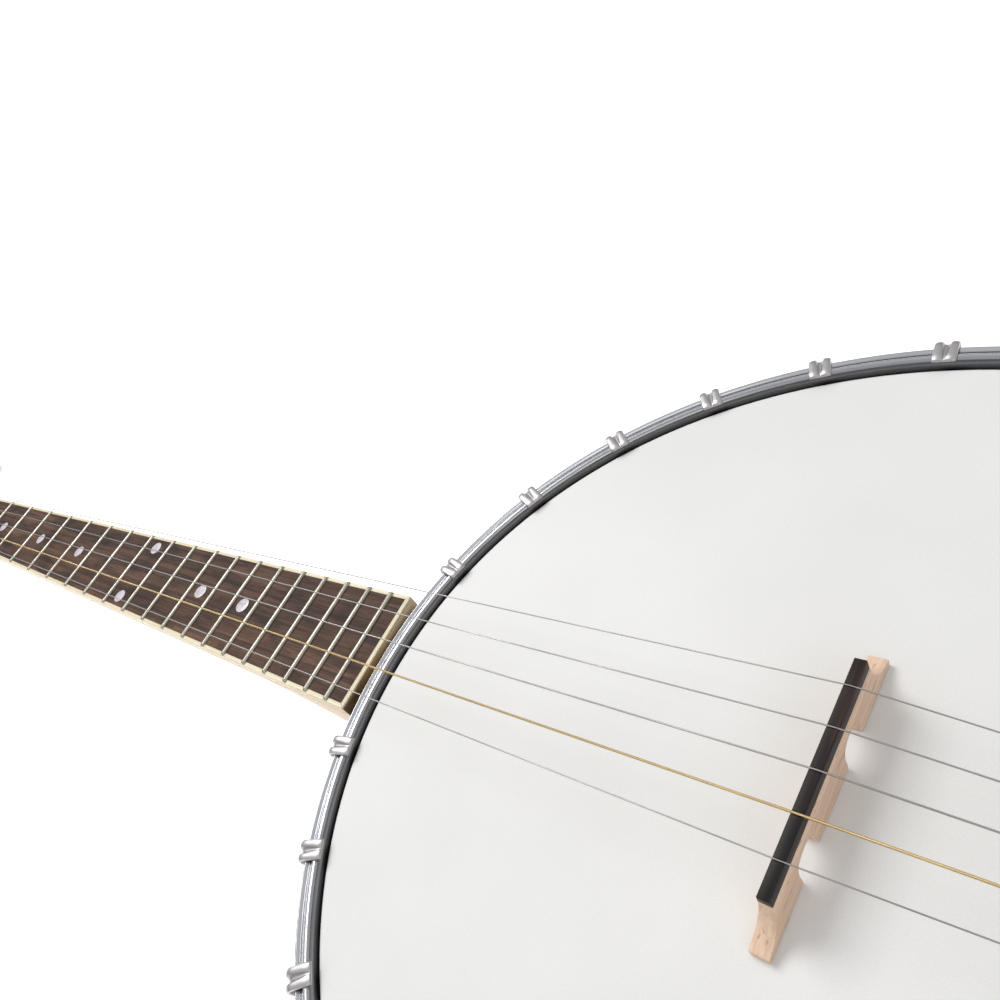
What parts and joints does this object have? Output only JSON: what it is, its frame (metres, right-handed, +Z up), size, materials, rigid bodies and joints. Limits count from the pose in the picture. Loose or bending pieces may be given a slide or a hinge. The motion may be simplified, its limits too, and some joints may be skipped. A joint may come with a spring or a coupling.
{
  "type": "banjo",
  "caption": "Five-string open-back banjo: fretted neck with bound fingerboard, round drum head under a grooved hoop with hooks, wooden bridge, tuners and strings.",
  "frame": {"origin": "middle of the underside of the whole banjo, lying on its back", "axes": "+X from the peghead to the tailpiece, +Y towards the first string's side, +Z up out of the head"},
  "size_m": [0.9372, 0.298, 0.0784],
  "materials": {
    "chrome": "bright plated",
    "nickel": "nickel plated",
    "brass": "rolled, unpolished",
    "film": "frosted coating",
    "maple": "satin lacquer",
    "bridge_maple": "bare, sanded",
    "rosewood": "oiled, open grain",
    "ebony": "oiled",
    "ivoroid": "semi-gloss",
    "bone": "polished",
    "pearloid": "pearl",
    "string_steel": "drawn wire",
    "string_bronze": "wound wire"
  },
  "bodies": {
    "instrument": {"rim": "maple", "tone_ring": "brass", "head": "film", "flesh_hoop": "brass", "tension_hoop": "chrome", "bracket_01": "chrome", "bracket_02": "chrome", "bracket_03": "chrome", "bracket_04": "chrome", "bracket_05": "chrome", "bracket_06": "chrome", "bracket_07": "chrome", "bracket_08": "chrome", "bracket_09": "chrome", "bracket_10": "chrome", "bracket_11": "chrome", "bracket_12": "chrome", "bracket_13": "chrome", "bracket_14": "chrome", "bracket_15": "chrome", "bracket_16": "chrome", "bracket_17": "chrome", "bracket_18": "chrome", "bracket_19": "chrome", "bracket_20": "chrome", "bracket_21": "chrome", "bracket_22": "chrome", "bracket_23": "chrome", "bracket_24": "chrome", "coordinator_rod": "chrome", "neck": "maple", "fretboard": "rosewood", "fretboard_binding": "ivoroid", "peghead_overlay": "ebony", "truss_rod_cover": "pearloid", "nut": "bone", "fifth_string_nut": "bone", "tuner_1_housing": "nickel", "tuner_2_housing": "nickel", "tuner_3_housing": "nickel", "tuner_4_housing": "nickel", "fifth_peg_bushing": "nickel", "string_1": "string_steel", "string_2": "string_steel", "string_3": "string_steel", "string_4": "string_bronze", "string_5": "string_steel", "tailpiece": "chrome", "tailpiece_hanger": "chrome"},
    "button_1": {"tuner_1_button": "nickel"},
    "button_2": {"tuner_2_button": "nickel"},
    "button_3": {"tuner_3_button": "nickel"},
    "button_4": {"tuner_4_button": "nickel"},
    "post_1": {"tuner_1_post": "nickel"},
    "post_2": {"tuner_2_post": "nickel"},
    "post_3": {"tuner_3_post": "nickel"},
    "post_4": {"tuner_4_post": "nickel"},
    "fifth_peg": {"fifth_peg": "nickel"},
    "bridge": {"bridge_base": "bridge_maple", "bridge_cap": "ebony"}
  },
  "joints": [
    {"name": "button_1_turn", "type": "hinge", "parent": "instrument", "child": "button_1", "pos_m": [-0.36377, 0.02184, 0.0258], "axis": [0, 1, 0], "continuous": true},
    {"name": "button_2_turn", "type": "hinge", "parent": "instrument", "child": "button_2", "pos_m": [-0.41216, 0.02184, 0.01321], "axis": [0, 1, 0], "continuous": true},
    {"name": "button_3_turn", "type": "hinge", "parent": "instrument", "child": "button_3", "pos_m": [-0.41216, -0.01816, 0.01321], "axis": [0, 1, 0], "continuous": true},
    {"name": "button_4_turn", "type": "hinge", "parent": "instrument", "child": "button_4", "pos_m": [-0.36377, -0.01816, 0.0258], "axis": [0, 1, 0], "continuous": true},
    {"name": "post_1_turn", "type": "hinge", "parent": "instrument", "child": "post_1", "pos_m": [-0.37239, 0.02184, 0.02873], "axis": [-0.2519, 0, 0.9678], "continuous": true},
    {"name": "post_2_turn", "type": "hinge", "parent": "instrument", "child": "post_2", "pos_m": [-0.42077, 0.02184, 0.01613], "axis": [-0.2519, 0, 0.9678], "continuous": true},
    {"name": "post_3_turn", "type": "hinge", "parent": "instrument", "child": "post_3", "pos_m": [-0.42077, -0.01816, 0.01613], "axis": [-0.2519, 0, 0.9678], "continuous": true},
    {"name": "post_4_turn", "type": "hinge", "parent": "instrument", "child": "post_4", "pos_m": [-0.37239, -0.01816, 0.02873], "axis": [-0.2519, 0, 0.9678], "continuous": true},
    {"name": "fifth_peg_turn", "type": "hinge", "parent": "instrument", "child": "fifth_peg", "pos_m": [-0.18347, -0.01496, 0.0555], "axis": [0, 1, 0], "continuous": true},
    {"name": "bridge_slide", "type": "slide", "parent": "instrument", "child": "bridge", "axis": [1, 0, 0], "range_m": [-0.002, 0.002]}
  ],
  "couplings": [
    {"joint": "post_1_turn", "follows": "button_1_turn", "ratio": 0.071429},
    {"joint": "post_2_turn", "follows": "button_2_turn", "ratio": 0.071429},
    {"joint": "post_3_turn", "follows": "button_3_turn", "ratio": 0.071429},
    {"joint": "post_4_turn", "follows": "button_4_turn", "ratio": 0.071429}
  ]
}
